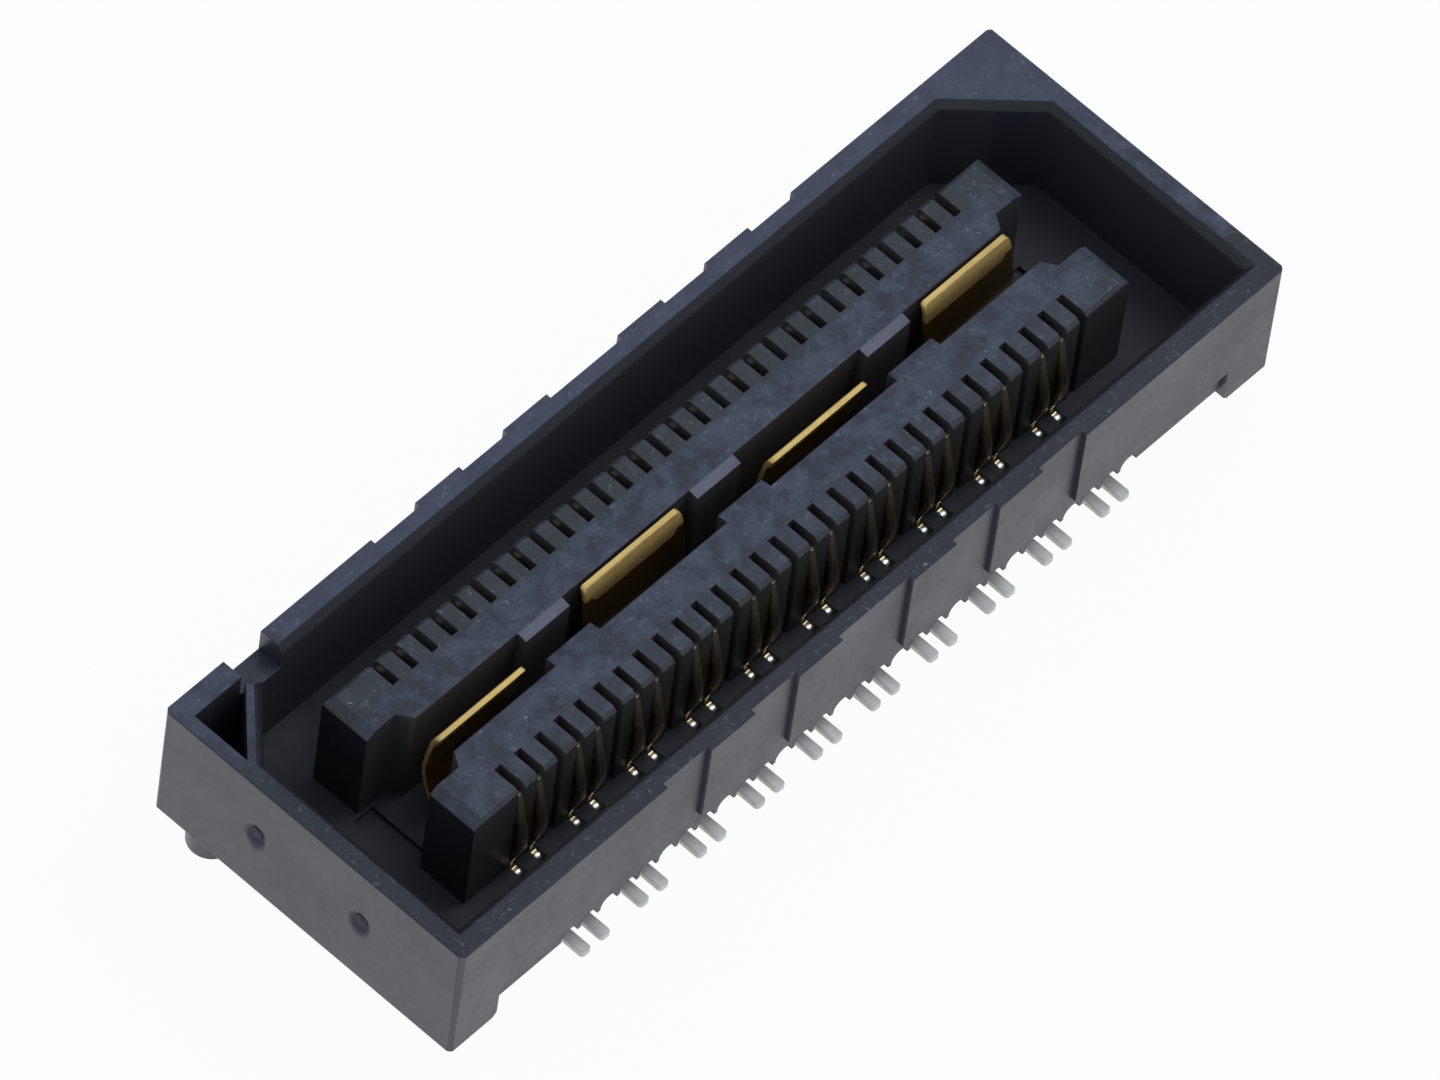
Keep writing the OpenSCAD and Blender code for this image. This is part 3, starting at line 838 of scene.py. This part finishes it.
class CONNECTOR_OT_stage(bpy.types.Operator):
    """Sets the camera, the floor, the sky and the lamp"""

    bl_idname = "connector.stage"
    bl_label = "Stage"

    def execute(self, context):
        settings = context.scene.connector_stage
        context.scene.view_settings.view_transform = "Standard"
        context.scene.camera = self.camera(settings)
        context.scene.world = self.sky(settings)
        self.floor(settings)
        self.lamp(settings)
        return {"FINISHED"}

    def camera(self, settings):
        """A long lens that looks down at the part from one side."""
        across, rise = settings.azimuth, settings.elevation
        back = Vector((
            math.sin(across) * math.cos(rise), -math.cos(across) * math.cos(rise), math.sin(rise)
        ))
        right = Vector((math.cos(across), math.sin(across), 0))
        level = Matrix((right, back.cross(right), back)).transposed()
        turned = level @ Matrix.Rotation(settings.roll, 3, "Z")
        data = bpy.data.cameras.new("camera")
        data.lens = settings.lens
        data.sensor_width = settings.sensor
        data.clip_start = settings.distance / CLIP
        data.clip_end = settings.distance * CLIP
        camera = shown("camera", data)
        camera.matrix_world = Matrix.LocRotScale(
            Vector(settings.aim) + back * settings.distance, turned.to_quaternion(), None
        )
        return camera

    def sky(self, settings):
        """Even light from all round."""
        finish = Finish(bpy.data.worlds.new("soft_sky"))
        light = finish.node(
            "ShaderNodeBackground",
            inputs={"Color": opaque(settings.sky), "Strength": settings.sky_strength},
        )
        finish.end(light, "ShaderNodeOutputWorld")
        return finish.owner

    def floor(self, settings):
        """A round floor that looks white and keeps a little of the part's shadow."""
        mesh = bmesh.new()
        bmesh.ops.create_circle(
            mesh, cap_ends=True, radius=settings.floor_radius, segments=FLOOR_SIDES
        )
        level = (0, 0, CAD_BOX[0].z - settings.floor_drop)
        bmesh.ops.translate(mesh, verts=mesh.verts, vec=level)
        finish = Finish(bpy.data.materials.new("pale_floor"))
        rays = [
            finish.node("ShaderNodeLightPath", output=kind)
            for kind in ("Is Camera Ray", "Is Glossy Ray", "Is Transmission Ray")
        ]
        lit = finish.node("ShaderNodeBsdfDiffuse", inputs={"Color": opaque(settings.floor)})
        white = finish.node("ShaderNodeEmission", inputs={"Color": (1, 1, 1, 1), "Strength": 1.0})
        keep = settings.floor_white * sum(rays)
        finish.end(finish.node("ShaderNodeMixShader", inputs={0: keep, 1: lit, 2: white}))
        floor = shown("floor", mesh_data("floor", mesh, finish.owner))

    def lamp(self, settings):
        """A round lamp that looks at the part."""
        data = bpy.data.lights.new("soft_lamp", "AREA")
        data.shape = "DISK"
        data.size = settings.lamp_size
        data.energy = settings.lamp_power
        data.color = settings.lamp_colour
        lamp = shown("soft_lamp", data)
        lamp.location = settings.lamp_at
        lamp.rotation_mode = "QUATERNION"
        lamp.rotation_quaternion = (-Vector(settings.lamp_at)).to_track_quat("-Z", "Y")


class CONNECTOR_PT_panel(bpy.types.Panel):
    """Lists the pieces of the connector and the values behind them"""

    bl_idname = "CONNECTOR_PT_panel"
    bl_label = "Connector"
    bl_space_type = "VIEW_3D"
    bl_region_type = "UI"
    bl_category = "Connector"

    def draw(self, context):
        for title, group, operators in PANEL_ROWS:
            box = self.layout.box()
            box.label(text=title)
            settings = getattr(context.scene, group)
            for name in settings.bl_rna.properties.keys():
                if name not in {"rna_type", "name"}:
                    box.prop(settings, name)
            for operator in operators:
                box.operator(operator.bl_idname)


PANEL_ROWS = (
    ("Moulding", "connector_moulding", (CONNECTOR_OT_housing,)),
    ("Gates", "connector_gate", (CONNECTOR_OT_gates,)),
    ("Plating", "connector_plating", (CONNECTOR_OT_contacts, CONNECTOR_OT_blades)),
    ("Stage", "connector_stage", (CONNECTOR_OT_stage,)),
)
GROUPS = {
    "connector_moulding": MouldingSettings,
    "connector_gate": GateSettings,
    "connector_plating": PlatingSettings,
    "connector_stage": StageSettings,
}
CLASSES = (
    *GROUPS.values(),
    CONNECTOR_OT_housing,
    CONNECTOR_OT_gates,
    CONNECTOR_OT_contacts,
    CONNECTOR_OT_blades,
    CONNECTOR_OT_stage,
    CONNECTOR_PT_panel,
)


def register():
    """Adds the classes and hangs the settings on the scene."""
    for cls in CLASSES:
        bpy.utils.register_class(cls)
    for name, group in GROUPS.items():
        setattr(bpy.types.Scene, name, PointerProperty(type=group))


def unregister():
    """Takes the settings off the scene and removes the classes."""
    for name in GROUPS:
        delattr(bpy.types.Scene, name)
    for cls in reversed(CLASSES):
        bpy.utils.unregister_class(cls)


def main():
    """Builds the pieces and the stage."""
    register()
    bpy.ops.connector.housing()
    bpy.ops.connector.gates()
    bpy.ops.connector.contacts()
    bpy.ops.connector.blades()
    bpy.ops.connector.stage()


if __name__ == "__main__":
    main()
